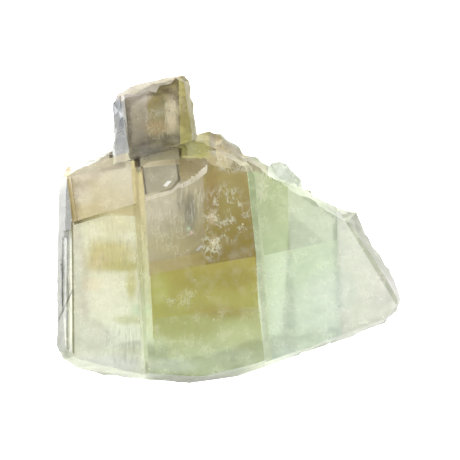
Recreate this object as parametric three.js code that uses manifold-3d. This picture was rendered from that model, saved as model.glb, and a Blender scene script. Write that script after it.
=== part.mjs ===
// A rough piece of green calcite, lying on its broken back with its widest cleavage face up.
// It is one crystal and one solid: a wedge bounded by cleavage planes, which meet at the mineral's
// own angles, and by uneven fractures where the piece was broken out. A smaller block of the same
// crystal stands out of its far left side.
// Millimetres, +Z up. The origin is the middle of the footprint, on the surface that it lies on.

import * as THREE from "three";
import { ConvexGeometry } from "three/addons/geometries/ConvexGeometry.js";
import { ImprovedNoise } from "three/addons/math/ImprovedNoise.js";
import { TessellateModifier } from "three/addons/modifiers/TessellateModifier.js";
import { mergeVertices } from "three/addons/utils/BufferGeometryUtils.js";
import Module from "manifold-3d";

const wasm = await Module();
wasm.setup();

const radians = THREE.MathUtils.degToRad;

// Driving dimensions
const CLEAVAGE_ANGLE = 78.1; // acute plane angle of a calcite cleavage face, in degrees
const FRONT_TILT = 20; // how far the front cleavage plane leans from level
const TRACE_BEARING = 11.5; // bearing, from +X, of the cleavage steps that run across the front
const FRONT_HEIGHT = 17; // height of the front plane above the origin
const RAISED_STEP = 3; // how far the middle block stands above the front plane
const SMALL_BLOCK_STEP = 4.5; // the small block on the far side
const TILE_STEP = 1.3; // and the pale tile on the left
const TILE_TURN = 5.5; // how far the tile and the small block are swung from the rest, in degrees
const LAMELLA_STEP = 0.4; // how far each sheet of the left side stands out past the one above it
const LAMELLA_DEPTH = 1.5; // thickness of those sheets
const FACET = 3; // longest facet edge of a fracture
const BROKEN_RELIEF = 1.2; // depth of the hollows in a fracture
const SPLINTER = 0.5; // height of the small steps that a fracture runs in
const SPARE = 1.5; // height left on a broken hull for its flat faces to be cut from
const FAR = 60; // longer than any cut through the piece

// The wide outline of the main body, [x, y, height], anticlockwise from the left of the near side
const GIRDLE = [
  [-34.4, -23, 23.4],
  [-33.2, -25.6, 24],
  [-30, -27.6, 22],
  [-20, -29.5, 21],
  [-8, -30.5, 19],
  [1.6, -29.2, 18],
  [6.4, -27.2, 15],
  [14, -24.3, 12],
  [23, -21.8, 9],
  [31, -18.6, 7],
  [33.8, -16.2, 7],
  [34.6, -14, 8],
  [34, -11.6, 8],
  [30, -5, 7],
  [26.2, 1.6, 6],
  [24.4, 3.2, 6],
  [6.4, 14.4, 5],
  [-4.4, 20, 5],
  [-16, 18, 6],
  [-24.4, 15, 9],
  [-32, 12.8, 13],
  [-33.6, 11, 14.4],
  [-34.2, 6, 15],
  [-34.4, -4, 18.6],
];

// The rim of the front, [x, y]: it lies on the plane of the raised middle block
const FRONT_RIM = [
  [-30.6, -23],
  [-29.4, -24.8],
  [-16, -28.2],
  [-6, -28.8],
  [6, -26],
  [14, -22.8],
  [23, -20],
  [30.5, -17.4],
  [32.6, -14.6],
  [21.6, 1.2],
  [12.4, 6],
  [2.6, 11.2],
  [-4, 14.6],
  [-14, 16],
  [-22.4, 14.4],
  [-31.6, 10.6],
];

// The foot that it lies on, [x, y]
const FOOT = [
  [-30, -19],
  [-24, -25],
  [-6, -26.5],
  [9, -22.5],
  [24, -17],
  [28, -12],
  [22, -1],
  [12, 5.5],
  [2, 11.5],
  [-10, 14.5],
  [-25, 10.5],
  [-31.5, 3],
];

// The small block: its front, [x, y], on its own plane, and its wide outline, [x, y, height]
const SMALL_FRONT = [
  [-22.4, 14.4],
  [-8.6, 15.8],
  [-8, 18.4],
  [-9.6, 29.4],
  [-14, 28.4],
  [-21.6, 26],
];
const SMALL_GIRDLE = [
  [-23, 12, 16],
  [-23.4, 18.4, 15.4],
  [-23, 24, 14],
  [-22.8, 27.2, 13.4],
  [-20.4, 28.8, 12.4],
  [-14, 30.2, 11],
  [-9.6, 30.9, 10.4],
  [-8.2, 30, 10.4],
  [-7.6, 27, 11],
  [-6.2, 19.6, 12.6],
  [-6.2, 12, 13],
];
const SMALL_BACK = [
  [-21, 12, 6],
  [-20.6, 24, 4.6],
  [-14, 26.6, 3.6],
  [-10.6, 24, 3.6],
  [-9.6, 12, 5],
];

// The nub that looks out from under the far right side, [x, y, height]
const NUB = [
  [7, 10, 4.5],
  [8.2, 13.4, 6],
  [10.2, 13.8, 7],
  [11.8, 12.6, 8],
  [14.2, 9.8, 7.2],
  [14.4, 8.6, 5.8],
  [12.6, 7, 9],
  [8.4, 9, 9],
  [9, 11.8, 3.2],
  [13, 8.6, 3.4],
];

// Directions of the three cleavage edges: a runs across the front, b up the front, c down into it.
function cleavageEdges() {
  const acute = radians(CLEAVAGE_ANGLE);
  const tilt = radians(FRONT_TILT);
  const cos = Math.cos(acute);
  const sideways = (cos + cos * cos) / Math.sin(acute);
  const down = -Math.sqrt(1 - cos * cos - sideways * sideways);
  const halfSeen = Math.atan(Math.tan(acute / 2) / Math.cos(tilt));
  const turn = new THREE.Matrix4()
    .makeRotationZ(radians(TRACE_BEARING) + halfSeen)
    .multiply(new THREE.Matrix4().makeRotationY(tilt))
    .multiply(new THREE.Matrix4().makeRotationZ(-acute / 2));
  return [
    new THREE.Vector3(1, 0, 0),
    new THREE.Vector3(cos, Math.sin(acute), 0),
    new THREE.Vector3(-cos, sideways, down),
  ].map((edge) => edge.applyMatrix4(turn));
}

const [EDGE_A, EDGE_B, EDGE_C] = cleavageEdges();
const FRONT_NORMAL = EDGE_A.clone().cross(EDGE_B).normalize();

// Height of the plane that lies `level` above the front plane, at a place seen from above.
function frontHeight(x, y, level = 0) {
  const drop = (x * FRONT_NORMAL.x + y * FRONT_NORMAL.y) / FRONT_NORMAL.z;
  return FRONT_HEIGHT + level - drop;
}

const onFront = (outline, level) =>
  outline.map(([x, y]) => [x, y, frontHeight(x, y, level)]);

// A closed geometry as a manifold-3d solid.
function solid(geometry) {
  const bare = geometry.index ? geometry.toNonIndexed() : geometry.clone();
  bare.deleteAttribute("normal");
  bare.deleteAttribute("uv");
  const merged = mergeVertices(bare, 1e-4);
  return new wasm.Manifold(
    new wasm.Mesh({
      numProp: 3,
      vertProperties: merged.attributes.position.array,
      triVerts: new Uint32Array(merged.index.array),
    }),
  );
}

// The solid's surface as a geometry with flat facets.
function geometryOf(made) {
  const mesh = made.getMesh();
  const places = new Float32Array(mesh.numVert * 3);
  for (let i = 0; i < mesh.numVert; i++) {
    const start = i * mesh.numProp;
    places.set(mesh.vertProperties.subarray(start, start + 3), i * 3);
  }
  const geometry = new THREE.BufferGeometry()
    .setAttribute("position", new THREE.BufferAttribute(places, 3))
    .setIndex(new THREE.BufferAttribute(mesh.triVerts, 1))
    .toNonIndexed();
  geometry.computeVertexNormals();
  return geometry;
}

const hull = (points) => new ConvexGeometry(points.map((p) => new THREE.Vector3(...p)));

// How far a fracture is hollowed at a place: shallow dishes, in small steps. The far side and the
// underside are rough, and the rest of the rim broke smoothly.
const noise = new ImprovedNoise();
function hollowed({ x, y, z }) {
  const dishes = noise.noise(x / 9 + 3.1, y / 9, z / 6);
  const splinters = noise.noise(x / 3.4, y / 3.4 + 5.2, z / 2.6);
  const far = THREE.MathUtils.smoothstep(y, -8, 6) * THREE.MathUtils.smoothstep(x, -34, -27);
  const under = 1 - THREE.MathUtils.smoothstep(z, 5, 12);
  const relief = BROKEN_RELIEF * Math.max(0.25, far, under);
  return SPLINTER * Math.round((relief * (0.9 * dishes + 0.6 * splinters)) / SPLINTER);
}

// A hull with its surface broken: it is cut into small facets, which sink towards the upright axis
// at `centre`, or stand away from it.
function brokenHull(points, centre) {
  const facets = new TessellateModifier(FACET, 12).modify(hull(points));
  const places = facets.attributes.position;
  const place = new THREE.Vector3();
  const inward = new THREE.Vector3();
  for (let i = 0; i < places.count; i++) {
    place.fromBufferAttribute(places, i);
    inward.set(centre[0] - place.x, centre[1] - place.y, 0).normalize();
    place.addScaledVector(inward, hollowed(place));
    places.setXYZ(i, place.x, place.y, place.z);
  }
  return solid(facets);
}

// A block with cleavage faces all round. Its corner is at [x, y], `level` above the front plane,
// and it spans [from, to] along each edge. `turn` swings it about the corner, in degrees.
function cleavageBlock({ x, y, level = 0, a, b, c, turn = 0 }) {
  const unit = new THREE.BoxGeometry(1, 1, 1).translate(0.5, 0.5, 0.5);
  const span = (edge, [from, to]) => edge.clone().multiplyScalar(to - from);
  const start = EDGE_A.clone()
    .multiplyScalar(a[0])
    .addScaledVector(EDGE_B, b[0])
    .addScaledVector(EDGE_C, c[0]);
  const shape = new THREE.Matrix4()
    .makeBasis(span(EDGE_A, a), span(EDGE_B, b), span(EDGE_C, c))
    .setPosition(start);
  unit
    .applyMatrix4(shape)
    .rotateZ(radians(turn))
    .translate(x, y, frontHeight(x, y, level));
  return solid(faceOut(unit));
}

// Turns the faces of a mirrored box the right way round.
function faceOut(geometry) {
  const order = geometry.index.array;
  for (let i = 0; i < order.length; i += 3)
    [order[i + 1], order[i + 2]] = [order[i + 2], order[i + 1]];
  return geometry;
}

// What a shell-shaped chip takes out of a face: a ball that sinks `depth` into it.
function chip({ at, facing, radius, depth }) {
  const outward = new THREE.Vector3(...facing).normalize();
  const middle = new THREE.Vector3(...at).addScaledVector(outward, radius - depth);
  return solid(new THREE.SphereGeometry(radius, 40, 28).translate(...middle));
}

const WHOLE = [-FAR, FAR];
const ABOVE = [-FAR, 0];
const BELOW = [0, FAR];

// The front of the main body: the middle block stays high, and the crystal has cleaved away to its
// right and to its left, where a thin tile of the next layer is left.
function cleaveFront(body) {
  const top = cleavageBlock({ x: 0, y: 0, level: RAISED_STEP, a: WHOLE, b: WHOLE, c: ABOVE });
  const right = cleavageBlock({ x: 6.9, y: -27.5, a: [0, FAR], b: WHOLE, c: ABOVE, turn: 2.2 });
  const left = cleavageBlock({ x: -17.4, y: -29, a: [-FAR, 0], b: WHOLE, c: ABOVE });
  const tile = cleavageBlock({
    x: -31,
    y: 1.6,
    a: [0, 14],
    b: [0, 9.2],
    c: [-TILE_STEP, 1],
    turn: TILE_TURN,
  });
  return body.subtract(top).subtract(right).subtract(left.subtract(tile));
}

// The left side: thin sheets, each a little further out than the one above it.
function splitLeftSide(body) {
  let cut = body;
  for (let sheet = 1; sheet <= 3; sheet++)
    cut = cut.subtract(
      cleavageBlock({
        x: -31.4,
        y: 1.6,
        a: [-FAR, -LAMELLA_STEP * (sheet - 1)],
        b: [-FAR, -1.5 * sheet],
        c: [-FAR, LAMELLA_DEPTH * sheet],
        turn: -3.1,
      }),
    );
  return cut;
}

// The far end of the middle block: a sunken tile, a shell-shaped chip beside it, a pit behind that
// and the groove that parts them from the small block.
function chipMiddle(body) {
  const sunkenTile = cleavageBlock({
    x: -17,
    y: 7,
    level: RAISED_STEP - 1.1,
    a: [0, 7.4],
    b: [0, 6.2],
    c: ABOVE,
    turn: TILE_TURN,
  });
  const groove = cleavageBlock({
    x: -19,
    y: 12.4,
    level: 0.4,
    a: [0, 9.4],
    b: [0, 2.2],
    c: ABOVE,
  });
  const pit = cleavageBlock({
    x: -10,
    y: 14.6,
    level: -1.6,
    a: [0, 7],
    b: [0, 3.4],
    c: ABOVE,
  });
  const shell = chip({
    at: [-7.6, 14.6, frontHeight(-7.6, 14.6, RAISED_STEP)],
    facing: FRONT_NORMAL,
    radius: 10,
    depth: 1.3,
  });
  return body.subtract(sunkenTile).subtract(groove).subtract(pit).subtract(shell);
}

// The back: it rises in cleavage steps under the right side, and ledges have come off the near and
// the far side.
const BACK_LEDGES = [
  { x: 11.6, y: -10, level: -14, a: [0, FAR], b: WHOLE, c: BELOW },
  { x: 21.4, y: -10, level: -10.5, a: [0, FAR], b: WHOLE, c: BELOW },
  { x: -26, y: -24.6, level: -13, a: [-FAR, 7], b: [-FAR, 0], c: BELOW },
  { x: -11, y: -27, level: -9.5, a: [0, 12], b: [-FAR, 0], c: BELOW },
  { x: 13, y: -21.6, level: -6, a: [0, 9], b: [-FAR, 0], c: [0, 7] },
  { x: 3, y: 11, level: -5, a: [0, 9], b: [0, FAR], c: BELOW },
  { x: -29, y: 10, level: -7, a: [0, 8], b: [0, FAR], c: [0, 6] },
];

// The shallow bay in the outline between the nub and the right end.
const FAR_BAY = { at: [17.5, 8, 7], facing: [0.5, 0.86, 0.1], radius: 30, depth: 1.6 };

// Takes away everything below the surface that the piece lies on.
function levelFoot(body) {
  const below = new THREE.BoxGeometry(2 * FAR, 2 * FAR, FAR).translate(0, 0, -FAR / 2);
  return body.subtract(solid(below));
}

function mainBody() {
  const whole = brokenHull(
    [
      ...GIRDLE,
      ...onFront(FRONT_RIM, RAISED_STEP + SPARE),
      ...FOOT.map(([x, y]) => [x, y, -SPARE]),
    ],
    [-4, -6],
  );
  const stepped = BACK_LEDGES.reduce(
    (body, ledge) => body.subtract(cleavageBlock(ledge)),
    levelFoot(whole).subtract(chip(FAR_BAY)),
  );
  return chipMiddle(splitLeftSide(cleaveFront(stepped)));
}

// The small block: a sheet at its back stands out past the left edge of its front.
function smallBlock() {
  const whole = brokenHull(
    [...onFront(SMALL_FRONT, SMALL_BLOCK_STEP + SPARE), ...SMALL_GIRDLE, ...SMALL_BACK],
    [-14.5, 20],
  );
  const front = cleavageBlock({
    x: -19.8,
    y: 14,
    level: SMALL_BLOCK_STEP,
    a: WHOLE,
    b: WHOLE,
    c: ABOVE,
  });
  const left = cleavageBlock({
    x: -19.8,
    y: 14,
    level: SMALL_BLOCK_STEP,
    a: [-FAR, 0],
    b: WHOLE,
    c: [-FAR, 1.6],
    turn: 3,
  });
  const near = cleavageBlock({
    x: -19.8,
    y: 14,
    level: SMALL_BLOCK_STEP,
    a: WHOLE,
    b: [-FAR, 0],
    c: [-FAR, 9],
    turn: TILE_TURN,
  });
  return whole.subtract(front).subtract(left).subtract(near);
}

const stone = mainBody().add(smallBlock()).add(solid(hull(NUB)));

// Moves a geometry so that the middle of its box's underside is the origin.
function centred(geometry) {
  geometry.computeBoundingBox();
  const { min, max } = geometry.boundingBox;
  return geometry.translate(-(min.x + max.x) / 2, -(min.y + max.y) / 2, -min.z);
}

export default new THREE.Group().add(
  Object.assign(
    new THREE.Mesh(
      centred(geometryOf(stone)),
      new THREE.MeshStandardMaterial({
        color: 0xb9c79a,
        roughness: 0.25,
        metalness: 0,
      }),
    ),
    { name: "calcite_crystal" },
  ),
);
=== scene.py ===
"""Rough green calcite: one cleaved crystal lying on a softly lit table, seen from straight above.

Everything is in metres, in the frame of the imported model: +X is the thin right end, +Y the far
side with the small block, +Z up out of the cleaved front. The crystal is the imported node's own
shape, with its fractures broken finer and its zones of colour laid out on the front.
"""

import math

import bmesh
import bpy
from mathutils import Matrix, Vector, noise


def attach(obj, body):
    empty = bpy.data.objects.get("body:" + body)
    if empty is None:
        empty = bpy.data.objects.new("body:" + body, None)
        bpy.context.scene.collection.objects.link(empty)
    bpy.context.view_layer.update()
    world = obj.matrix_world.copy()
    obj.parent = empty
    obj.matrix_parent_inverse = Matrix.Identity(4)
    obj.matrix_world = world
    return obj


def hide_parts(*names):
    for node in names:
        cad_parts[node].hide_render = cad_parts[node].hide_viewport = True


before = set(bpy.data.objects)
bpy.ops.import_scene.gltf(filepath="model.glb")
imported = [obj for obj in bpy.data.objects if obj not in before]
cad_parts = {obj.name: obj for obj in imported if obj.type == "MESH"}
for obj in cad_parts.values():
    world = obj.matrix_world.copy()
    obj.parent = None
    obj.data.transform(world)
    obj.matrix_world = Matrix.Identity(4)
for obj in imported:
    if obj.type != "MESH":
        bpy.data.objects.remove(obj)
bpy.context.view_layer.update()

bl_info = {
    "name": "Rough Green Calcite",
    "version": (1, 0, 0),
    "blender": (4, 5, 0),
    "location": "View3D > Sidebar > Calcite",
    "description": "A rough piece of green calcite on a softly lit table",
    "category": "Add Mesh",
}

MM = 0.001
NODE = "calcite_crystal"
BODY = "root"

# Near the mean of calcite's two indices, 1.49 and 1.66
CALCITE_IOR = 1.6

# The photograph's frame: its side in pixels, millimetres to a pixel on the crystal, and in
# millimetres, where its middle falls on the model and how high on the crystal that scale holds
PHOTO_SIDE = 460
MM_PER_PIXEL = 0.2
PHOTO_MIDDLE = (0.14, -0.2)
SCALE_HEIGHT = 12

# The directions that calcite cleaves in, as this piece lies, in degrees: the acute angle of a
# cleavage face, how far the front leans from level, and the bearing of the steps across it
CLEAVAGE_ANGLE = 78.1
FRONT_TILT = 20
TRACE_BEARING = 11.5

# What a face is, and how near a face has to look the same way as a plane to lie along it, as the
# cosine of the angle between them
FRONT, WALL, BROKEN, FOOT = range(4)
LEVEL = 0.999
ON_FRONT = 0.995
ON_CLEAVAGE = 0.993

# Longest edge on the front, short enough for its soft patches
FRONT_EDGE = 1.2 * MM

# The table, a little below the crystal's foot, and how far from the middle its glow starts to fall
# and ends
TABLE_RADIUS = 4.0
TABLE_GAP = 0.05 * MM
GLOW_REACH = (66 * MM, 130 * MM)

# Each lamp's name, place, diameter and power
LAMPS = (
    ("key_light", (-0.6, 0.45, 0.9), 1.5, 5.0),
    ("fill_light", (0.7, -0.5, 0.7), 1.2, 2.1),
)

# Width of the camera's sensor in millimetres
SENSOR = 36

# Seed of the fractures' noise, which would otherwise come from the clock
SEED = 5


def linear(hex_colour):
    """An sRGB hex colour as linear RGBA."""
    values = [int(hex_colour[i : i + 2], 16) / 255 for i in (1, 3, 5)]
    made = [v / 12.92 if v <= 0.04045 else ((v + 0.055) / 1.055) ** 2.4 for v in values]
    return (*made, 1.0)


def cleavage_edges():
    """The three cleavage edge directions: across the front, up it, and down into the piece."""
    acute = math.radians(CLEAVAGE_ANGLE)
    tilt = math.radians(FRONT_TILT)
    cos = math.cos(acute)
    sideways = (cos + cos * cos) / math.sin(acute)
    down = -math.sqrt(1 - cos * cos - sideways * sideways)
    half_seen = math.atan(math.tan(acute / 2) / math.cos(tilt))
    turn = (
        Matrix.Rotation(math.radians(TRACE_BEARING) + half_seen, 3, "Z")
        @ Matrix.Rotation(tilt, 3, "Y")
        @ Matrix.Rotation(-acute / 2, 3, "Z")
    )
    across = turn @ Vector((1, 0, 0))
    up = turn @ Vector((cos, math.sin(acute), 0))
    into = turn @ Vector((-cos, sideways, down))
    return across, up, into


ACROSS, UP, INTO = cleavage_edges()
FRONT_NORMAL = ACROSS.cross(UP).normalized()
SIDE_NORMAL = UP.cross(INTO).normalized()
END_NORMAL = ACROSS.cross(INTO).normalized()
FROM_LATTICE = Matrix((ACROSS, UP, INTO)).transposed()
TO_LATTICE = FROM_LATTICE.inverted()

# The zones of the front as they show from above. Each has its outline in the photograph's pixels,
# and the two pixels between which its colour changes, with the colour at each. A later zone lies
# over an earlier one.
ZONES = [
    (
        "right",
        [(245, 100), (420, 100), (420, 400), (268, 400), (256, 256), (247, 172)],
        ((300, 300), "#dbe3cd"),
        ((395, 290), "#eaebd8"),
    ),
    (
        "right_upper",
        [(247, 150), (337, 150), (337, 240), (288, 251), (256, 258)],
        ((300, 195), "#c9d2b2"),
        ((320, 240), "#ced7bd"),
    ),
    (
        "right_inner",
        [(247, 150), (287, 150), (289, 251), (256, 258)],
        ((268, 190), "#b9c395"),
        ((270, 250), "#bdcaa0"),
    ),
    (
        "right_lower",
        [(256, 257), (337, 240), (343, 400), (268, 400)],
        ((270, 265), "#d4e1bf"),
        ((320, 320), "#e0ebd5"),
    ),
    (
        "left",
        [(40, 150), (139, 150), (145, 262), (153, 400), (40, 400)],
        ((110, 280), "#e4e3c4"),
        ((110, 350), "#e6ead4"),
    ),
    (
        "under_tile",
        [(98, 214), (138, 203), (140, 216), (106, 216)],
        ((120, 205), "#c9bb8c"),
        ((120, 216), "#d0c496"),
    ),
    (
        "tile",
        [(60, 150), (130, 150), (138, 203), (75, 222)],
        ((115, 168), "#dcd4bb"),
        ((90, 214), "#cdbf93"),
    ),
    (
        "tile_edge",
        [(66, 150), (71, 170), (79, 221), (73, 224)],
        ((70, 180), "#c9bb8f"),
        ((74, 222), "#bfae7c"),
    ),
    (
        "strip",
        [(130, 150), (144, 150), (152, 262), (161, 400), (148, 400), (139, 262)],
        ((140, 200), "#cdc194"),
        ((152, 340), "#cfd8b4"),
    ),
    (
        "middle",
        [(142, 150), (205, 140), (206, 262), (150, 276)],
        ((158, 205), "#bdb59a"),
        ((208, 235), "#978b5d"),
    ),
    (
        "brown",
        [(203, 120), (249, 168), (258, 256), (205, 265)],
        ((215, 190), "#9d9056"),
        ((240, 245), "#8e7e2c"),
    ),
    (
        "brown_band",
        [(150, 262), (205, 252), (206, 266), (151, 275)],
        ((160, 266), "#b0a374"),
        ((200, 260), "#a09257"),
    ),
    (
        "olive",
        [(151, 274), (257, 256), (263, 330), (154, 338)],
        ((200, 270), "#aaa050"),
        ((205, 318), "#adac64"),
    ),
    (
        "sage",
        [(154, 318), (263, 306), (270, 400), (158, 400)],
        ((205, 318), "#adaf70"),
        ((210, 362), "#cbd6ae"),
    ),
    (
        "sunken",
        [(143, 168), (178, 164), (180, 182), (166, 190), (145, 195)],
        ((150, 170), "#a29b85"),
        ((160, 192), "#afa890"),
    ),
    # Painted shadow: the dark band where the small block's foot drops to the body
    (
        "groove",
        [(135, 161), (178, 157), (180, 163), (143, 168)],
        ((140, 163), "#c4bca2"),
        ((178, 160), "#9c916c"),
    ),
    # Painted shadow: dark lines along the groove and down the corner left of the sunken tile
    (
        "groove_edge",
        [
            (135, 161), (150, 159), (178, 156), (178, 158), (150, 162), (143, 166),
            (141, 173), (137, 172),
        ],
        ((138, 163), "#9f977e"),
        ((178, 157), "#857b60"),
    ),
    # Painted shadow: the dark double line at the sunken tile's step
    (
        "sunken_edge",
        [
            (177, 164), (180, 165), (181, 180), (172, 190), (160, 193), (160, 191),
            (171, 188), (178, 179),
        ],
        ((179, 166), "#736b55"),
        ((162, 192), "#9c9374"),
    ),
    (
        "sunken_lip",
        [
            (146, 197), (160, 193), (172, 190), (181, 181), (181, 185), (173, 193),
            (160, 197), (146, 201),
        ],
        ((180, 184), "#cdc6b2"),
        ((150, 198), "#d8d0b8"),
    ),
    (
        "sunken_glint",
        [(163, 186), (168, 181), (172, 181), (167, 187)],
        ((164, 186), "#e9e6dc"),
        ((171, 182), "#f4f3ee"),
    ),
    (
        "far_patch",
        [(178, 150), (215, 143), (207, 172), (192, 178), (181, 184)],
        ((186, 156), "#93875d"),
        ((200, 172), "#a29873"),
    ),
    (
        "dark_patch",
        [(178, 140), (203, 130), (224, 147), (204, 154), (182, 157)],
        ((190, 150), "#8d7c44"),
        ((212, 146), "#a38c4b"),
    ),
    (
        "frost",
        [(203, 125), (262, 165), (300, 188), (262, 172), (247, 172), (215, 166), (205, 160)],
        ((215, 150), "#bdb184"),
        ((250, 166), "#c8c4a0"),
    ),
    (
        "curl",
        [
            (178, 188), (184, 182), (194, 176), (202, 170), (206, 164), (206, 172),
            (196, 181), (184, 188),
        ],
        ((182, 184), "#c9c1ab"),
        ((204, 168), "#ddd5c0"),
    ),
    (
        "small",
        [(110, 60), (210, 60), (210, 158), (110, 162)],
        ((160, 90), "#978a52"),
        ((160, 150), "#918866"),
    ),
    # Its grey, darker lower part is a painted reflection of the dim room
    (
        "small_left",
        [(110, 60), (146, 60), (150, 160), (110, 162)],
        ((132, 95), "#aea48a"),
        ((140, 150), "#8d8570"),
    ),
    # Painted reflection: the grey-blue of the dim room, reflected inside the sheet
    (
        "small_sheet_reflection",
        [(110, 96), (121, 96), (131, 153), (114, 157), (110, 140)],
        ((120, 108), "#a9adac"),
        ((122, 152), "#d2d3cc"),
    ),
    # Painted shadow: the dark line along the small block's left edge
    (
        "small_shadow_edge",
        [(121, 97), (125, 96), (133, 153), (130, 155)],
        ((123, 100), "#7d775c"),
        ((131, 150), "#9a927a"),
    ),
    (
        "small_top",
        [
            (116, 98), (140, 76), (190, 70), (180, 80), (174, 79), (171, 84),
            (160, 86), (156, 93), (147, 91), (140, 96), (127, 98), (122, 102),
        ],
        ((130, 94), "#d9d3c5"),
        ((170, 80), "#cfc8ad"),
    ),
    (
        "small_right",
        [(178, 60), (210, 60), (210, 158), (181, 158)],
        ((184, 95), "#c3ba77"),
        ((196, 130), "#b9b36b"),
    ),
    # Its grey is a painted reflection of the dim room in the steep left face
    (
        "left_face_reflection",
        [(40, 176), (67, 176), (73, 222), (75, 352), (40, 352)],
        ((66, 200), "#cdcfc8"),
        ((64, 345), "#c6c8ba"),
    ),
    # Painted shade: the dark line that the left bevel throws by refraction
    (
        "left_shaded_edge",
        [(72, 222), (74, 222), (76, 352), (74, 352)],
        ((73, 225), "#a6a17a"),
        ((75, 350), "#b3b48f"),
    ),
    (
        "left_crack",
        [(73, 289), (74, 291), (59, 323), (58, 321)],
        ((73, 290), "#94917d"),
        ((58, 322), "#7d7a68"),
    ),
    (
        "lip",
        [
            (247, 172), (255, 172), (264, 256), (275, 400), (268, 400), (265, 365),
            (258, 300), (256, 256),
        ],
        ((256, 200), "#c4d0a2"),
        ((268, 340), "#e2eccc"),
    ),
    # Painted glints: the small green, pink and blue glints that a crack's film reflects
    (
        "green_fleck",
        [(188, 226), (190, 227), (190, 231), (187, 229)],
        ((188, 227), "#a3b490"),
        ((190, 231), "#abbfa2"),
    ),
    (
        "pink_fleck",
        [(190, 232), (192, 230), (193, 233), (191, 235)],
        ((191, 233), "#c2a79e"),
        ((194, 232), "#c9b6a4"),
    ),
    (
        "blue_fleck",
        [(196, 250), (201, 245), (203, 246), (198, 251)],
        ((196, 251), "#a9b1ab"),
        ((203, 246), "#b7aca6"),
    ),
    (
        "tile_shadow",
        [(75, 222), (97, 215), (138, 203), (138, 205), (98, 218), (75, 225)],
        ((80, 222), "#8f8650"),
        ((112, 212), "#cdc297"),
    ),
    (
        "tile_top",
        [(66, 172), (128, 153), (131, 160), (68, 179)],
        ((70, 175), "#ece2bf"),
        ((128, 158), "#ece5cb"),
    ),
    (
        "right_shadow",
        [(341, 214), (346, 214), (399, 299), (396, 305)],
        ((343, 216), "#c3c9ad"),
        ((397, 302), "#cdd0bb"),
    ),
    (
        "right_bevel",
        [(346, 214), (352, 205), (412, 300), (399, 301)],
        ((350, 214), "#d4d8bf"),
        ((400, 298), "#dfe1d0"),
    ),
    (
        "nub",
        [(268, 155), (305, 165), (303, 189), (268, 176)],
        ((270, 165), "#edf3e2"),
        ((302, 187), "#dfe8d0"),
    ),
]

# The zones wide enough to hold soft patches; the rest are lines and edges
WHOLE_ZONES = {
    number
    for number, (name, _, _, _) in enumerate(ZONES)
    if not name.endswith(("edge", "fleck", "crack", "shadow", "glint", "lip", "curl"))
}

# How milky the zones are that aren't clear. Milkier ones show less of the table and more of their
# own body.
MILK = {
    "right": 1.0,
    "right_upper": 0.95,
    "right_inner": 0.85,
    "right_lower": 1.0,
    "right_shadow": 1.0,
    "right_bevel": 0.8,
    "lip": 1.0,
    "left": 1.0,
    "left_face_reflection": 1.0,
    "left_shaded_edge": 0.8,
    "tile": 1.0,
    "tile_top": 1.0,
    "tile_edge": 0.8,
    "tile_shadow": 0.5,
    "under_tile": 0.8,
    "sage": 1.0,
    "olive": 0.35,
    "middle": 0.4,
    "sunken": 0.6,
    "small_sheet_reflection": 1.0,
    "small_shadow_edge": 0.5,
    "small_top": 0.9,
    "small_left": 0.6,
    "small": 0.3,
    "small_right": 0.9,
    "nub": 1.0,
    "curl": 0.9,
    "sunken_lip": 0.9,
    "sunken_glint": 0.9,
    "frost": 0.7,
    "brown_band": 0.3,
    "strip": 0.4,
}

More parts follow.
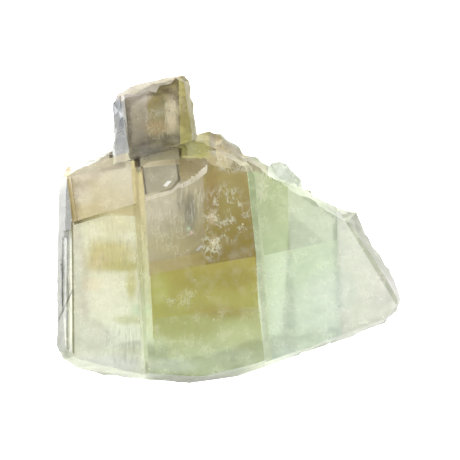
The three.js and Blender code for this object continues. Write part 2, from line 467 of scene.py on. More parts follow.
# Soft patches within the zones, as ellipses in the photograph's pixels: the centre, the two radii,
# the colour shown and how strongly it shows. A later patch lies over an earlier one.
PATCHES = {
    "cream under the tile": ((112, 225), (28, 13), "#e3ddb6", 0.9),
    "cream at the tile's corner": ((94, 230), (13, 15), "#e6e2c2", 0.7),
    "khaki band": ((108, 253), (34, 17), "#d0c68f", 1.0),
    "khaki band, lower left": ((99, 263), (20, 10), "#cdbf8e", 0.8),
    "khaki band, lower edge": ((124, 266), (26, 7), "#c2bb79", 0.9),
    "khaki band, pale end": ((84, 250), (9, 22), "#e8e7ca", 0.7),
    "pale left side": ((100, 300), (32, 22), "#e6e5cb", 0.8),
    "peach blush": ((92, 284), (13, 8), "#eadebb", 0.6),
    "khaki streak by the strip": ((132, 284), (6, 17), "#c9c487", 0.8),
    "green glint on the strip": ((141, 309), (12, 7), "#c8dab6", 0.7),
    "khaki line by the strip": ((130, 319), (20, 5), "#c4c695", 0.7),
    "grey-green lower left": ((125, 340), (32, 18), "#e3e8d2", 0.7),
    "pale lower left corner": ((85, 338), (22, 26), "#f2f3d8", 0.9),
    "pale band at the lower left": ((126, 352), (24, 9), "#eef5d6", 0.9),
    "pale left border": ((77, 285), (9, 75), "#f4f0d4", 0.9),
    "strip, pale foot": ((160, 350), (12, 16), "#c9d3ab", 0.8),
    "sage, pale left foot": ((172, 364), (32, 9), "#d8e2c4", 0.9),
    "tile, pale far end": ((86, 172), (16, 11), "#efe7cd", 0.9),
    "tile, pale left end": ((84, 195), (12, 14), "#e0d8be", 0.7),
    "small block, brown heart": ((160, 107), (12, 14), "#93864e", 0.8),
    "green lower left corner": ((69, 353), (6, 6), "#a5ad88", 0.9),
    "grey middle": ((163, 208), (20, 18), "#c5bea8", 0.7),
    "dark fold": ((190, 213), (8, 24), "#7d7662", 0.8),
    "dark fold's edge": ((180, 200), (5, 20), "#978f7c", 0.6),
    "buff middle": ((170, 245), (28, 13), "#b0a67a", 0.6),
    "brown, left border": ((212, 196), (9, 28), "#958048", 0.7),
    "brown, olive heart": ((230, 198), (14, 22), "#9d9352", 0.6),
    "chalky feather": ((212, 218), (5, 9), "#bdb092", 0.9),
    "lower chalky feather": ((214, 243), (6, 8), "#c1b799", 0.9),
    "brown, lower left corner": ((206, 258), (7, 5), "#94803f", 0.6),
    "brown, foot": ((228, 252), (28, 8), "#8c7c3c", 0.7),
    "frosted far edge": ((229, 157), (22, 11), "#c6bb92", 0.7),
    "olive, far part": ((200, 281), (24, 12), "#a1994c", 0.7),
    "olive, right part": ((233, 278), (24, 14), "#9c9142", 0.7),
    "olive, left part": ((161, 290), (12, 22), "#b1b263", 0.8),
    "olive, foot": ((222, 311), (38, 8), "#a39650", 0.7),
    "sage, pale right": ((242, 335), (20, 16), "#c3c897", 0.6),
    "sage, deep left": ((190, 330), (34, 12), "#a8ab68", 0.5),
    "sage, pale right foot": ((235, 356), (30, 10), "#cfd8b4", 0.8),
    "green bottom rim": ((176, 378), (30, 5), "#929b57", 0.9),
    "small block, pale corner": ((140, 93), (15, 13), "#cdc6b4", 0.8),
    "small block, amber": ((157, 128), (14, 9), "#a08a56", 0.9),
    # Painted reflection: the grey at the small block's left and foot is the dim room reflected
    "small block, grey reflection at the left": ((138, 120), (12, 12), "#9b9075", 0.7),
    "small block, grey reflection at the foot": ((150, 151), (18, 9), "#7f796a", 0.8),
    "small block, buff streak": ((172, 113), (7, 25), "#c9bd9c", 0.9),
    "small block, yellow border": ((184, 112), (5, 32), "#b3a869", 0.7),
    "small block, right rim": ((193, 132), (6, 18), "#bdb783", 0.6),
    "pale beside the lip": ((260, 184), (9, 16), "#c9cea8", 0.7),
    "green window": ((276, 205), (12, 24), "#b4bf90", 0.6),
    "right side, green middle": ((302, 272), (42, 18), "#d6e4c4", 0.6),
    "right side, pale end": ((332, 292), (32, 26), "#e0e9d5", 0.7),
    "right side, near foot": ((298, 336), (36, 14), "#dfebcf", 0.8),
    "pale bottom rim": ((112, 364), (46, 13), "#f8fae2", 1.0),
    "right tip": ((392, 292), (14, 18), "#f2f2e4", 0.9),
    "khaki bottom rim": ((205, 379), (55, 5), "#a5a878", 0.8),
    "right tip, near side": ((380, 300), (18, 12), "#dfe1cf", 0.7),
}

# Where the front carries marks, as ellipses in the photograph's pixels with a strength. Feathers
# are small healed cracks, streaks are scored along the cleavage with painted shade in the grooves
# between them, and clouds are milky.
FEATHERS = {
    "brown": ((226, 214), (28, 32), 1.0),
    "brown, lower left": ((212, 244), (12, 18), 1.0),
    "frosted far edge": ((232, 161), (30, 13), 1.0),
    "olive": ((185, 298), (30, 14), 0.6),
    "sage": ((178, 355), (24, 14), 0.7),
    "right of the lip": ((266, 200), (13, 34), 1.0),
    "down the lip": ((263, 280), (10, 30), 0.8),
    "right side, near foot": ((283, 335), (14, 16), 0.9),
    "small block": ((160, 120), (34, 30), 0.4),
    "middle": ((175, 235), (30, 30), 0.5),
    "right side, far edge": ((300, 180), (34, 22), 0.4),
}
STREAKS = {
    "dark fold": ((190, 202), (20, 28), 1.0),
    "middle": ((165, 230), (24, 42), 0.6),
    "small block": ((170, 112), (14, 34), 0.9),
    "left face": ((66, 290), (12, 70), 0.8),
    "strip": ((143, 240), (10, 90), 0.4),
    "lower left": ((125, 345), (26, 26), 0.5),
    "under the tile": ((110, 245), (34, 40), 0.4),
}
CLOUDS = {
    "left side": ((95, 300), (62, 100), 1.0),
    "tile": ((100, 190), (50, 36), 0.5),
    "bottom rim": ((205, 364), (110, 22), 0.9),
    "right side": ((320, 270), (105, 115), 0.8),
    "sunken tile": ((160, 182), (24, 16), 0.4),
    "middle": ((160, 215), (24, 30), 0.4),
}

# How much of the table's light comes up through an untinted clear face, by colour. A tint works by
# its square root at each face that the light crosses, so a zone's tint is near the square of what
# it shows.
THROUGH = (0.86, 0.93, 0.76)
TINT_POWER = 2.15

# How much of what a wholly milky face shows is its own lit body, and how bright that is untinted
MILKY_SHARE = 0.6
LIT = 0.85


class CrystalSettings(bpy.types.PropertyGroup):
    """The crystal's fractures and colours."""

    facet: bpy.props.FloatProperty(
        name="Fracture facet",
        description="Longest edge of the facets on a fracture",
        default=0.6 * MM,
        unit="LENGTH",
    )
    step: bpy.props.FloatProperty(
        name="Fracture step",
        description="Pitch of the cleavage steps that a fracture runs in",
        default=2.0 * MM,
        unit="LENGTH",
    )
    clear: bpy.props.FloatProperty(
        name="See-through share",
        description="How much of the light at a clear cleavage face passes into the crystal",
        default=0.78,
        min=0,
        max=1,
        subtype="FACTOR",
    )
    body: bpy.props.FloatVectorProperty(
        name="Body",
        description="Colour that the light takes on inside the crystal",
        default=linear("#bdd78f"),
        size=4,
        subtype="COLOR",
    )
    rim: bpy.props.FloatVectorProperty(
        name="Rim",
        description="Colour of the thin broken rims",
        default=linear("#e9f0d3"),
        size=4,
        subtype="COLOR",
    )
    crust: bpy.props.FloatVectorProperty(
        name="Crust",
        description="Colour that the broken far side leans to",
        default=linear("#d0c797"),
        size=4,
        subtype="COLOR",
    )
    hidden: bpy.props.FloatVectorProperty(
        name="Underside",
        description="Colour of the faces that can't be seen from above",
        default=linear("#fbfdf8"),
        size=4,
        subtype="COLOR",
    )


class StageSettings(bpy.types.PropertyGroup):
    """The table and the camera."""

    table: bpy.props.FloatVectorProperty(
        name="Table",
        description="Colour of the table",
        default=linear("#ebecec"),
        size=4,
        subtype="COLOR",
    )
    glow: bpy.props.FloatProperty(
        name="Glow",
        description="How strongly the table glows under the crystal",
        default=1.6,
        min=0,
    )
    camera_height: bpy.props.FloatProperty(
        name="Camera height",
        description="Height of the camera over the table",
        default=2.0,
        unit="LENGTH",
    )


def add(tree, kind, inputs=None, **settings):
    """Adds a node with its settings, and its inputs as values or as other nodes' outputs."""
    node = tree.nodes.new(kind)
    for name, value in settings.items():
        setattr(node, name, value)
    for key, value in (inputs or {}).items():
        if isinstance(value, bpy.types.NodeSocket):
            tree.links.new(value, node.inputs[key])
        else:
            node.inputs[key].default_value = value
    return node


def new_material(name):
    """An empty node material and its output node."""
    material = bpy.data.materials.new(name)
    material.use_nodes = True
    material.node_tree.nodes.clear()
    return material, add(material.node_tree, "ShaderNodeOutputMaterial")


def new_object(name, work, materials):
    """An object at the origin that holds a bmesh."""
    mesh = bpy.data.meshes.new(name)
    work.to_mesh(mesh)
    work.free()
    for material in materials:
        mesh.materials.append(material)
    made = bpy.data.objects.new(name, mesh)
    bpy.context.scene.collection.objects.link(made)
    return made


def on_model(pixel):
    """A pixel of the photograph as a place over the model, in metres."""
    return Vector(
        (
            (pixel[0] - PHOTO_SIDE / 2) * MM_PER_PIXEL + PHOTO_MIDDLE[0],
            (PHOTO_SIDE / 2 - pixel[1]) * MM_PER_PIXEL + PHOTO_MIDDLE[1],
        )
    ) * MM


def inside(place, outline):
    """True if a place seen from above lies in an outline."""
    within = False
    for start, end in zip(outline, outline[1:] + outline[:1]):
        if (start.y > place.y) != (end.y > place.y):
            crossing = start.x + (place.y - start.y) / (end.y - start.y) * (end.x - start.x)
            within ^= place.x < crossing
    return within


def marked_calcite(tree, place):
    """The tint with its marks and the painted shade of its grooves over it, how much they cover,
    and how milky the calcite is.
    """
    tint = add(tree, "ShaderNodeAttribute", attribute_name="tint").outputs["Color"]
    marks = add(tree, "ShaderNodeAttribute", attribute_name="marks").outputs["Color"]
    where = add(tree, "ShaderNodeSeparateColor", {"Color": marks}).outputs
    # Clouds: patches 3 mm across, which the tufts, the milk and the mottling share
    clouds = add(
        tree,
        "ShaderNodeTexNoise",
        {"Vector": place, "Scale": 330, "Detail": 5.0, "Roughness": 0.65},
    ).outputs["Fac"]
    cloud = add(
        tree,
        "ShaderNodeMapRange",
        {"Value": clouds, "From Min": 0.48, "From Max": 0.72, "To Min": 0.0, "To Max": 0.55},
    ).outputs["Result"]
    milk = add(
        tree,
        "ShaderNodeMapRange",
        {"Value": clouds, "From Min": 0.35, "From Max": 0.65, "To Min": 0.85, "To Max": 1.0},
    ).outputs["Result"]
    # Feathers: wandering strokes 0.15 mm wide, 1 mm apart and 2 mm long, in tufts
    leaning = add(
        tree,
        "ShaderNodeMapping",
        {"Vector": place, "Rotation": (0, 0, math.radians(-20)), "Scale": (1000, 550, 550)},
    ).outputs["Vector"]
    strokes = add(
        tree,
        "ShaderNodeTexNoise",
        {"Vector": leaning, "Scale": 1.0, "Detail": 4.0, "Roughness": 0.6, "Distortion": 0.6},
    ).outputs["Fac"]
    off = add(tree, "ShaderNodeMath", {0: strokes, 1: 0.5}, operation="SUBTRACT").outputs[0]
    off = add(tree, "ShaderNodeMath", {0: off}, operation="ABSOLUTE").outputs[0]
    stroke = add(
        tree,
        "ShaderNodeMapRange",
        {"Value": off, "From Min": 0.0, "From Max": 0.08, "To Min": 0.85, "To Max": 0.0},
    ).outputs["Result"]
    tuft = add(
        tree,
        "ShaderNodeMapRange",
        {"Value": clouds, "From Min": 0.43, "From Max": 0.56, "To Min": 0.0, "To Max": 1.0},
        interpolation_type="SMOOTHSTEP",
    ).outputs["Result"]
    feather = add(tree, "ShaderNodeMath", {0: stroke, 1: tuft}, operation="MULTIPLY").outputs[0]
    # Streaks and the grooves between them: 0.5 mm wide and 3 mm long, down the front; the grooves
    # are painted dark as shade
    scored = add(
        tree,
        "ShaderNodeMapping",
        {"Vector": place, "Rotation": (0, 0, math.radians(8)), "Scale": (2200, 330, 330)},
    ).outputs["Vector"]
    scores = add(
        tree, "ShaderNodeTexNoise", {"Vector": scored, "Scale": 1.0, "Detail": 3.0}
    ).outputs["Fac"]
    streak = add(
        tree,
        "ShaderNodeMapRange",
        {"Value": scores, "From Min": 0.5, "From Max": 0.7, "To Min": 0.0, "To Max": 0.6},
    ).outputs["Result"]
    groove = add(
        tree,
        "ShaderNodeMapRange",
        {"Value": scores, "From Min": 0.34, "From Max": 0.5, "To Min": 0.6, "To Max": 0.0},
    ).outputs["Result"]
    # Each shows as strongly as the crystal's marks say
    feather, streak, groove, cloud, milk = (
        add(tree, "ShaderNodeMath", {0: mark, 1: where[channel]}, operation="MULTIPLY").outputs[0]
        for mark, channel in (
            (feather, "Red"),
            (streak, "Green"),
            (groove, "Green"),
            (cloud, "Blue"),
            (milk, "Blue"),
        )
    )
    # Nicks: white dots 0.4 mm across, in four of ten cells 3 mm wide
    cells = add(tree, "ShaderNodeTexVoronoi", {"Vector": place, "Scale": 330}).outputs
    chosen = add(tree, "ShaderNodeSeparateColor", {"Color": cells["Color"]}).outputs["Red"]
    chosen = add(
        tree, "ShaderNodeMath", {0: chosen, 1: 0.6}, operation="GREATER_THAN"
    ).outputs[0]
    nick = add(
        tree,
        "ShaderNodeMapRange",
        {
            "Value": cells["Distance"],
            "From Min": 0.05,
            "From Max": 0.09,
            "To Min": 1.0,
            "To Max": 0.0,
        },
    ).outputs["Result"]
    nick = add(tree, "ShaderNodeMath", {0: nick, 1: chosen}, operation="MULTIPLY").outputs[0]
    cover = feather
    for mark in (streak, cloud, nick):
        cover = add(tree, "ShaderNodeMath", {0: cover, 1: mark}, operation="MAXIMUM").outputs[0]
    share = add(tree, "ShaderNodeMath", {0: cover, 1: 0.45}, operation="MULTIPLY").outputs[0]
    # Mottling: the tint runs a little deeper and paler with the clouds
    depth = add(
        tree,
        "ShaderNodeMapRange",
        {"Value": clouds, "From Min": 0.3, "From Max": 0.7, "To Min": 0.88, "To Max": 1.12},
    ).outputs["Result"]
    colour = add(
        tree, "ShaderNodeVectorMath", {0: tint, "Scale": depth}, operation="SCALE"
    ).outputs["Vector"]
    # The marks whiten the tint, and the grooves are painted dark: painted shade in them
    for factor, over in ((share, "#efe9d8"), (groove, "#5d5844")):
        colour = add(
            tree,
            "ShaderNodeMix",
            {"Factor": factor, "A": colour, "B": linear(over)},
            data_type="RGBA",
        ).outputs["Result"]
    return colour, cover, milk


def clear_body(tree, output, colour):
    """The pale green that the light takes on inside the crystal, more where it is thicker."""
    absorb = add(tree, "ShaderNodeVolumeAbsorption", {"Color": colour, "Density": 20.0})
    tree.links.new(absorb.outputs["Volume"], output.inputs["Volume"])


def cleaved_calcite(settings):
    """Calcite split along its cleavage: flat and glossy, with the glow of the body under it."""
    material, output = new_material("green calcite, cleaved")
    tree = material.node_tree
    place = add(tree, "ShaderNodeTexCoord").outputs["Object"]
    colour, cover, milk = marked_calcite(tree, place)
    # Where it is milky, less of the table shows through it and more of its own body
    through = add(
        tree,
        "ShaderNodeMapRange",
        {
            "Value": milk,
            "From Min": 0.0,
            "From Max": 1.0,
            "To Min": settings.clear,
            "To Max": 0.25,
        },
    ).outputs["Result"]
    # Cleavage traces: fine ridges 0.4 mm apart that run across the front
    turned = add(
        tree,
        "ShaderNodeMapping",
        {
            "Vector": place,
            "Rotation": (0, 0, -math.radians(TRACE_BEARING)),
            "Scale": (150, 2500, 150),
        },
    ).outputs["Vector"]
    traces = add(
        tree, "ShaderNodeTexNoise", {"Vector": turned, "Scale": 1.0, "Detail": 3.0}
    ).outputs["Fac"]
    height = add(tree, "ShaderNodeMath", {0: traces, 1: cover}, operation="ADD").outputs[0]
    rough = add(
        tree,
        "ShaderNodeMapRange",
        {"Value": cover, "From Min": 0.0, "From Max": 1.0, "To Min": 0.2, "To Max": 0.55},
    ).outputs["Result"]
    bump = add(
        tree, "ShaderNodeBump", {"Height": height, "Strength": 0.4, "Distance": 0.05 * MM}
    ).outputs["Normal"]
    surface = add(
        tree,
        "ShaderNodeBsdfPrincipled",
        {
            "Base Color": colour,
            "Roughness": rough,
            "Normal": bump,
            "IOR": CALCITE_IOR,
            "Transmission Weight": through,
            "Coat Weight": 0.35,
            "Coat Roughness": 0.06,
            "Coat IOR": CALCITE_IOR,
        },
    )
    tree.links.new(surface.outputs["BSDF"], output.inputs["Surface"])
    clear_body(tree, output, settings.body)
    return material


def broken_calcite(settings):
    """Calcite broken across its cleavage: sugary, so it scatters the light and hardly shines."""
    material, output = new_material("green calcite, broken")
    tree = material.node_tree
    place = add(tree, "ShaderNodeTexCoord").outputs["Object"]
    colour, _, milk = marked_calcite(tree, place)
    # Grains 0.4 mm across
    grain = add(
        tree,
        "ShaderNodeTexNoise",
        {"Vector": place, "Scale": 2500, "Detail": 3.0, "Roughness": 0.6},
    ).outputs["Fac"]
    bump = add(
        tree, "ShaderNodeBump", {"Height": grain, "Strength": 0.4, "Distance": 0.12 * MM}
    ).outputs["Normal"]
    rough = add(
        tree,
        "ShaderNodeMapRange",
        {"Value": grain, "From Min": 0.3, "From Max": 0.7, "To Min": 0.4, "To Max": 0.65},
    ).outputs["Result"]
    through = add(
        tree,
        "ShaderNodeMapRange",
        {"Value": milk, "From Min": 0.0, "From Max": 1.0, "To Min": 0.65, "To Max": 0.25},
    ).outputs["Result"]
    surface = add(
        tree,
        "ShaderNodeBsdfPrincipled",
        {
            "Base Color": colour,
            "Roughness": rough,
            "Normal": bump,
            "IOR": CALCITE_IOR,
            "Transmission Weight": through,
        },
    )
    tree.links.new(surface.outputs["BSDF"], output.inputs["Surface"])
    clear_body(tree, output, settings.body)
    return material


def dull_calcite(name, through, settings):
    """Calcite rubbed dull where it faces down, so that it lets the table's light in softly."""
    material, output = new_material(name)
    tree = material.node_tree
    tint = add(tree, "ShaderNodeAttribute", attribute_name="tint").outputs["Color"]
    place = add(tree, "ShaderNodeTexCoord").outputs["Object"]
    # Scuffs 1.5 mm across
    scuff = add(
        tree,
        "ShaderNodeTexNoise",
        {"Vector": place, "Scale": 700, "Detail": 4.0, "Roughness": 0.6},
    ).outputs["Fac"]
    rough = add(
        tree,
        "ShaderNodeMapRange",
        {"Value": scuff, "From Min": 0.3, "From Max": 0.7, "To Min": 0.5, "To Max": 0.8},
    ).outputs["Result"]
    surface = add(
        tree,
        "ShaderNodeBsdfPrincipled",
        {
            "Base Color": tint,
            "Roughness": rough,
            "IOR": CALCITE_IOR,
            "Transmission Weight": through,
        },
    )
    tree.links.new(surface.outputs["BSDF"], output.inputs["Surface"])
    clear_body(tree, output, settings.body)
    return material


def merged_copy(node):
    """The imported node's mesh with its triangles joined and its flat faces made whole."""
    work = bmesh.new()
    work.from_mesh(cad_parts[node].data)
    bmesh.ops.remove_doubles(work, verts=work.verts, dist=0.002 * MM)
    bmesh.ops.dissolve_limit(
        work, angle_limit=math.radians(0.6), verts=work.verts, edges=work.edges
    )
    return work


def sort_faces(work):
    """Notes on each face whether it is cleaved, broken or the foot, and returns the layer."""
    kind = work.faces.layers.int.new("kind")
    planes = (FRONT_NORMAL, SIDE_NORMAL, END_NORMAL)
    for face in work.faces:
        normal = face.normal
        if normal.z < -LEVEL and face.calc_center_median().z < 0.1 * MM:
            face[kind] = FOOT
        elif normal.dot(FRONT_NORMAL) > ON_FRONT:
            face[kind] = FRONT
        elif max(abs(normal.dot(plane)) for plane in planes) > ON_CLEAVAGE:
            face[kind] = WALL
        else:
            face[kind] = BROKEN
    return kind


def cut_zones(work, kind):
    """Cuts the cleaved faces along the outlines of the zones, as they show from above."""
    bmesh.ops.triangulate(work, faces=[f for f in work.faces if f[kind] in (FRONT, WALL)])
    for _, outline, _, _ in ZONES:
        corners = [on_model(pixel) for pixel in outline]
        low = Vector((min(c.x for c in corners), min(c.y for c in corners)))
        high = Vector((max(c.x for c in corners), max(c.y for c in corners)))
        for start, end in zip(corners, corners[1:] + corners[:1]):
            # The tolerance only holds for a plane normal of length 1
            across = Vector((end.y - start.y, start.x - end.x, 0)).normalized()
            faces = [
                f
                for f in work.faces
                if f[kind] in (FRONT, WALL)
                and max(v.co.x for v in f.verts) > low.x
                and min(v.co.x for v in f.verts) < high.x
                and max(v.co.y for v in f.verts) > low.y
                and min(v.co.y for v in f.verts) < high.y
            ]
            # Kept in order, so that the cuts come out the same each run
            edges = dict.fromkeys(e for f in faces for e in f.edges)
            verts = dict.fromkeys(v for f in faces for v in f.verts)
            bmesh.ops.bisect_plane(
                work,
                geom=[*verts, *edges, *faces],
                dist=0.01 * MM,
                plane_co=(start.x, start.y, 0),
                plane_no=across,
            )
    bmesh.ops.triangulate(work, faces=work.faces)


def name_zones(work):
    """Notes on each face the last zone that it lies in, and returns the layer."""
    zone = work.faces.layers.int.new("zone")
    outlines = []
    for number, (_, outline, _, _) in enumerate(ZONES):
        corners = [on_model(pixel) for pixel in outline]
        xs = [c.x for c in corners]
        ys = [c.y for c in corners]
        outlines.append((number, corners, min(xs), max(xs), min(ys), max(ys)))
    # A face that lies in none counts as the first
    for face in work.faces:
        centre = face.calc_center_median()
        for number, corners, left, right, low, high in outlines:
            if left < centre.x < right and low < centre.y < high and inside(centre, corners):
                face[zone] = number
    return zone


def split_long_edges(work, wanted, longest):
    """Halves the longest edges of the wanted triangles, one to a triangle at a time."""
    while True:
        work.edges.index_update()
        edges = {max(f.edges, key=bmesh.types.BMEdge.calc_length) for f in work.faces if wanted(f)}
        edges = [(e.calc_length(), e.index, e) for e in edges if e.calc_length() > longest]
        chosen = []
        taken = set()
        for _, _, edge in sorted(edges, key=lambda item: (-item[0], item[1])):
            if taken.isdisjoint(edge.link_faces):
                chosen.append(edge)
                taken.update(edge.link_faces)
        if not chosen:
            return
        bmesh.ops.subdivide_edges(work, edges=chosen, cuts=1, use_single_edge=True)


def stepped(value):
    """Turns an even slope into stairs of height 1, each with a steep third between two flatter."""
    whole = math.floor(value)
    part = value - whole
    if part < 1 / 3:
        return whole + part * 0.2
    if part > 2 / 3:
        return whole + 1 - (1 - part) * 0.2
    return whole + 1 / 15 + (part - 1 / 3) * 2.6


def rise(value, low, high):
    """How far a value has come from low to high, from 0 to 1 with soft ends."""
    part = min(max((value - low) / (high - low), 0), 1)
    return part * part * (3 - 2 * part)


def band(value, low, full, fading, high):
    """1 from full to fading, falling softly to 0 at low and high."""
    return rise(value, low, full) * (1 - rise(value, fading, high))


def steepness(normal):
    """1 on a steep face, 0 on one near level."""
    return 1 - rise(normal.z, 0.6, 0.9)


def nearness(normal):
    """1 on a face that looks to the near side, 0 on one that looks sideways or away."""
    return 1 - rise(normal.y, -0.6, -0.2)


def behind(normal, place):
    """1 on a face that looks to the far side behind the middle block, 0 right of it."""
    return rise(normal.y, 0, 0.5) * (1 - rise(place.x / MM, 3, 9))


def hackle(normal, place):
    """How rough a fracture is: most under the piece and behind its middle, least at the rim."""
    far = behind(normal, place) * rise(normal.z, -0.7, -0.1)
    far *= 1 - rise(place.y / MM, 13, 15) * rise(normal.x, 0.2, 0.5)
    under = rise(-normal.z, 0.05, 0.4)
    return 0.08 + 0.27 * far + 0.45 * under


def sugary(normal, place):
    """True where a fracture is dull: where it is rough, and down its steep rims."""
    return hackle(normal, place) > 0.15 or normal.z < 0.6


def break_surface(work, kind, pitch):
    """Roughens the fractures: hollows, then stairs along the cleavage, as calcite breaks."""
    noise.seed_set(SEED)
    moved = {}
    for vert in work.verts:
        kinds = {f[kind] for f in vert.link_faces}
        if BROKEN not in kinds:
            continue
        share = hackle(vert.normal, vert.co)
        place = vert.co / MM
        # Hollows 0.35 mm deep and 3 mm across, and finer ones 0.2 mm deep and 1 mm across
        relief = 0.35 * noise.noise(place * 0.35) + 0.2 * noise.noise(place * 1.1)
        target = place + vert.normal * relief
        cell = TO_LATTICE @ target / (pitch / MM)
        # The stairs wander, by most of a step over 8 mm
        phase = 0.8 * noise.noise_vector(target * 0.12)
        cell = Vector(map(stepped, cell + phase)) - phase
        shift = (FROM_LATTICE @ cell * (pitch / MM) - place) * share
        for face in vert.link_faces:
            if face[kind] != BROKEN:
                shift -= face.normal * shift.dot(face.normal)
        moved[vert] = shift * MM
    for vert, shift in moved.items():
        vert.co += shift
        vert.co.z = max(vert.co.z, 0)


def placed(marks):
    """Ellipses of the photograph's pixels as a middle and radii in metres, and what they carry."""
    made = []
    for pixel, radii, *carried in marks.values():
        middle = on_model(pixel)
        across, up = (radius * MM_PER_PIXEL * MM for radius in radii)
        carried = [Vector(linear(c)) if isinstance(c, str) else c for c in carried]
        made.append((middle.x, middle.y, across, up, *carried))
    return made


def fade(x, y, across, up, place):
    """1 in the middle of an ellipse, falling to 0 past its edge."""
    return 1 - rise(math.hypot((place.x - x) / across, (place.y - y) / up), 0.4, 1.15)


def strength(marks, place):
    """How strong marks are at a place: the strongest of their ellipses there."""
    return max(most * fade(*where, place) for *where, most in marks)


def zone_shown(zone, place):
    """The linear colour that a zone shows at a place, between the colours at its two pixels."""
    start, end, origin, along = zone
    share = (place.xy - origin).dot(along) / along.length_squared
    return start.lerp(end, min(max(share, 0), 1))


def tint_for(shown, milk=0.0):
    """The tint that makes a face over the table show a colour, partly through and partly lit."""
    share = MILKY_SHARE * milk
    lit = max(LIT * share, 0.001)
    tint = []
    for wanted, through in zip(shown, THROUGH):
        clear = through * (1 - share)
        root = (math.sqrt(clear * clear + 4 * lit * wanted) - clear) / (2 * lit)
        tint.append(min(root, 1) ** TINT_POWER)
    return (*tint, 1)


def rim_share(normal, place):
    """How far a broken rim takes the rim's colour: most on the near side and where it's thin."""
    middle = band(place.x / MM, -18, -14, 4, 8)
    thin = band(place.x / MM, -2, 6, 19, 24)
    return steepness(normal) * max((0.7 - 0.6 * middle) * nearness(normal), 0.4 * thin)


def rim_light(normal, place):
    """How bright a broken rim is before its tint: bright where it is thin, dim over the tile."""
    x, y = place.xy / MM
    end = rise(x, 17, 22) * rise(normal.x, 0.2, 0.6)
    small = rise(y, 13, 15) * rise(normal.x, 0.2, 0.5)
    near = nearness(normal) * (0.15 + 0.5 * band(x, -18, -14, 0, 6))
    left = 0.3 * rise(-normal.x, 0.3, 0.7)
    tile = (1 - rise(x, -18, -15)) * band(y, 6, 9, 15, 17)
    return 1 + steepness(normal) * (0.45 * end + 0.5 * small + max(near, left) - 0.45 * tile)


def paint(work, kind, zone, settings):
    """Writes each face's tint and marks, from its zone and from what kind of face it is."""
    tint = work.loops.layers.float_color.new("tint")
    marks = work.loops.layers.float_color.new("marks")
    zones = []
    for _, _, (near, start), (far, end) in ZONES:
        origin = on_model(near)
        zones.append((Vector(linear(start)), Vector(linear(end)), origin, on_model(far) - origin))
    patches = placed(PATCHES)
    kinds = [placed(FEATHERS), placed(STREAKS), placed(CLOUDS)]
    milky = [MILK.get(name, 0) for name, _, _, _ in ZONES]
    rim, crust, hidden = (Vector(c) for c in (settings.rim, settings.crust, settings.hidden))
    # What each corner carries and shows is worked out once, not for every face around it
    carried = {}
    seen = {}
    for face in work.faces:
        broken = face[kind] in (BROKEN, FOOT)
        from_above = face.normal.z > 0.1
        number = face[zone]
        crusted = 0.3 * behind(face.normal, face.verts[0].co) * steepness(face.normal)
        for loop in face.loops:
            place = loop.vert.co
            if loop.vert not in carried:
                level = rise(loop.vert.normal.z, 0, 0.2)
                carried[loop.vert] = [level and strength(m, place) * level for m in kinds]
            feather, streak, cloud = carried[loop.vert]
            if from_above:
                cloud = max(cloud, milky[number])
                if broken:
                    cloud *= 1 - 0.6 * nearness(face.normal)
            loop[marks] = (feather, streak, cloud, 1)
            if not from_above:
                side = 0.15 + 0.75 * rise(face.normal.z, -0.9, -0.1) if broken else 0.4
                shown = zone_shown(zones[number], place) / rim_light(face.normal, place)
                loop[tint] = hidden.lerp(Vector(tint_for(shown)), side)
                continue
            if (loop.vert, number) not in seen:
                shown = zone_shown(zones[number], place)
                if number in WHOLE_ZONES:
                    for *where, colour, most in patches:
                        shown = shown.lerp(colour, fade(*where, place) * most)
                seen[loop.vert, number] = shown
            shown = seen[loop.vert, number]
            if broken:
                shown = shown.lerp(crust, crusted)
                shown = shown.lerp(rim, rim_share(face.normal, place))
                shown = shown / rim_light(face.normal, place)
            loop[tint] = tint_for(shown, loop[marks][2])


def make_crystal(settings):
    """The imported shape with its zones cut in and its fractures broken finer, then painted."""
    work = merged_copy(NODE)
    kind = sort_faces(work)
    cut_zones(work, kind)
    split_long_edges(work, lambda f: f[kind] == FRONT, FRONT_EDGE)
    split_long_edges(work, lambda f: f[kind] == BROKEN, settings.facet)
    zone = name_zones(work)
    break_surface(work, kind, settings.step)
    paint(work, kind, zone, settings)
    # Steps that face down are only half clear, so that they don't show as dark lines from above
    materials = [
        cleaved_calcite(settings),
        broken_calcite(settings),
        dull_calcite("green calcite, rubbed dull", 0.95, settings),
        dull_calcite("green calcite, hidden step", 0.5, settings),
    ]
    cleaved, sugar, dull, step = range(4)
    for face in work.faces:
        place = face.verts[0].co
        face.material_index = cleaved
        if face.normal.z < -0.05:
            face.material_index = step if face[kind] == WALL else dull
        elif face[kind] == BROKEN and sugary(face.normal, place):
            face.material_index = sugar
        face.smooth = face[kind] == BROKEN and hackle(face.normal, place) < 0.25
    piece = new_object("crystal", work, materials)
    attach(piece, BODY)
    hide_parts(NODE)


def make_table(settings):
    """A broad level table that glows where the crystal lies."""
    work = bmesh.new()
    bmesh.ops.create_circle(work, cap_ends=True, segments=96, radius=TABLE_RADIUS)
    bmesh.ops.translate(work, verts=work.verts, vec=(0, 0, -TABLE_GAP))
    # Opal glass: white and even, so the light comes up through the crystal with no edge in it
    material, output = new_material("opal glass, lit from below")
    tree = material.node_tree
    place = add(tree, "ShaderNodeTexCoord").outputs["Object"]
    far = add(tree, "ShaderNodeVectorMath", {0: place}, operation="LENGTH").outputs["Value"]
    glow = add(
        tree,
        "ShaderNodeMapRange",
        {
            "Value": far,
            "From Min": GLOW_REACH[0],
            "From Max": GLOW_REACH[1],
            "To Min": settings.glow,
            "To Max": 0.0,
        },
        interpolation_type="SMOOTHSTEP",
    ).outputs["Result"]
    surface = add(
        tree,
        "ShaderNodeBsdfPrincipled",
        {
            "Base Color": settings.table,
            "Roughness": 0.6,
            "Emission Color": linear("#ffffff"),
            "Emission Strength": glow,
        },
    )
    tree.links.new(surface.outputs["BSDF"], output.inputs["Surface"])
    new_object("floor", work, [material])


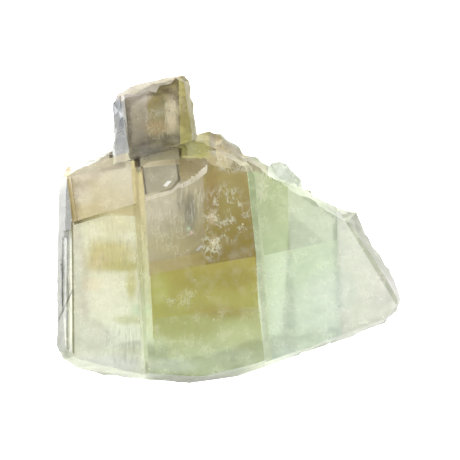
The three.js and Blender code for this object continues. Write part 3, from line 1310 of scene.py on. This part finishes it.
def make_studio():
    """An even pale room, a little paler to the eye than to the crystal."""
    world = bpy.data.worlds.new("studio")
    bpy.context.scene.world = world
    world.use_nodes = True
    tree = world.node_tree
    tree.nodes.clear()
    output = add(tree, "ShaderNodeOutputWorld")
    lit = add(tree, "ShaderNodeBackground", {"Color": linear("#c9ccce"), "Strength": 0.95})
    seen = add(tree, "ShaderNodeBackground", {"Color": linear("#e6e7e7"), "Strength": 0.9})
    direct = add(tree, "ShaderNodeLightPath").outputs["Is Camera Ray"]
    room = add(
        tree, "ShaderNodeMixShader", {0: direct, 1: lit.outputs[0], 2: seen.outputs[0]}
    )
    tree.links.new(room.outputs[0], output.inputs["Surface"])


def make_lamp(name, place, size, power):
    """A round soft lamp that points at the crystal."""
    lamp = bpy.data.lights.new(name, "AREA")
    lamp.shape = "DISK"
    lamp.size = size
    lamp.energy = power
    holder = bpy.data.objects.new(name, lamp)
    holder.location = place
    holder.rotation_mode = "QUATERNION"
    holder.rotation_quaternion = (-Vector(place)).to_track_quat("-Z", "Y")
    bpy.context.scene.collection.objects.link(holder)


def make_camera(height):
    """A camera straight above that frames the crystal as the photograph does."""
    camera = bpy.data.cameras.new("camera")
    camera.sensor_width = SENSOR
    width = PHOTO_SIDE * MM_PER_PIXEL * MM
    camera.lens = SENSOR * (height - SCALE_HEIGHT * MM) / width
    holder = bpy.data.objects.new("camera", camera)
    holder.location = (PHOTO_MIDDLE[0] * MM, PHOTO_MIDDLE[1] * MM, height)
    bpy.context.scene.collection.objects.link(holder)
    bpy.context.scene.camera = holder
    bpy.context.scene.view_settings.view_transform = "Standard"


class CALCITE_OT_crystal(bpy.types.Operator):
    """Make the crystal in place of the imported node"""

    bl_idname = "calcite.crystal"
    bl_label = "Make the crystal"

    def execute(self, context):
        make_crystal(context.scene.calcite_crystal)
        return {"FINISHED"}


class CALCITE_OT_stage(bpy.types.Operator):
    """Make the table, the lights and the camera"""

    bl_idname = "calcite.stage"
    bl_label = "Make the stage"

    def execute(self, context):
        settings = context.scene.calcite_stage
        make_table(settings)
        make_studio()
        for lamp in LAMPS:
            make_lamp(*lamp)
        make_camera(settings.camera_height)
        return {"FINISHED"}


class CALCITE_PT_panel(bpy.types.Panel):
    """The calcite's settings"""

    bl_idname = "CALCITE_PT_panel"
    bl_label = "Green calcite"
    bl_space_type = "VIEW_3D"
    bl_region_type = "UI"
    bl_category = "Calcite"

    def draw(self, context):
        for settings, operator in (
            (context.scene.calcite_crystal, "calcite.crystal"),
            (context.scene.calcite_stage, "calcite.stage"),
        ):
            for name in settings.__annotations__:
                self.layout.prop(settings, name)
            self.layout.operator(operator)


CLASSES = (
    CrystalSettings,
    StageSettings,
    CALCITE_OT_crystal,
    CALCITE_OT_stage,
    CALCITE_PT_panel,
)


def register():
    for made in CLASSES:
        bpy.utils.register_class(made)
    bpy.types.Scene.calcite_crystal = bpy.props.PointerProperty(type=CrystalSettings)
    bpy.types.Scene.calcite_stage = bpy.props.PointerProperty(type=StageSettings)


def unregister():
    del bpy.types.Scene.calcite_stage
    del bpy.types.Scene.calcite_crystal
    for made in reversed(CLASSES):
        bpy.utils.unregister_class(made)


def main():
    register()
    bpy.ops.calcite.crystal()
    bpy.ops.calcite.stage()


if __name__ == "__main__":
    main()
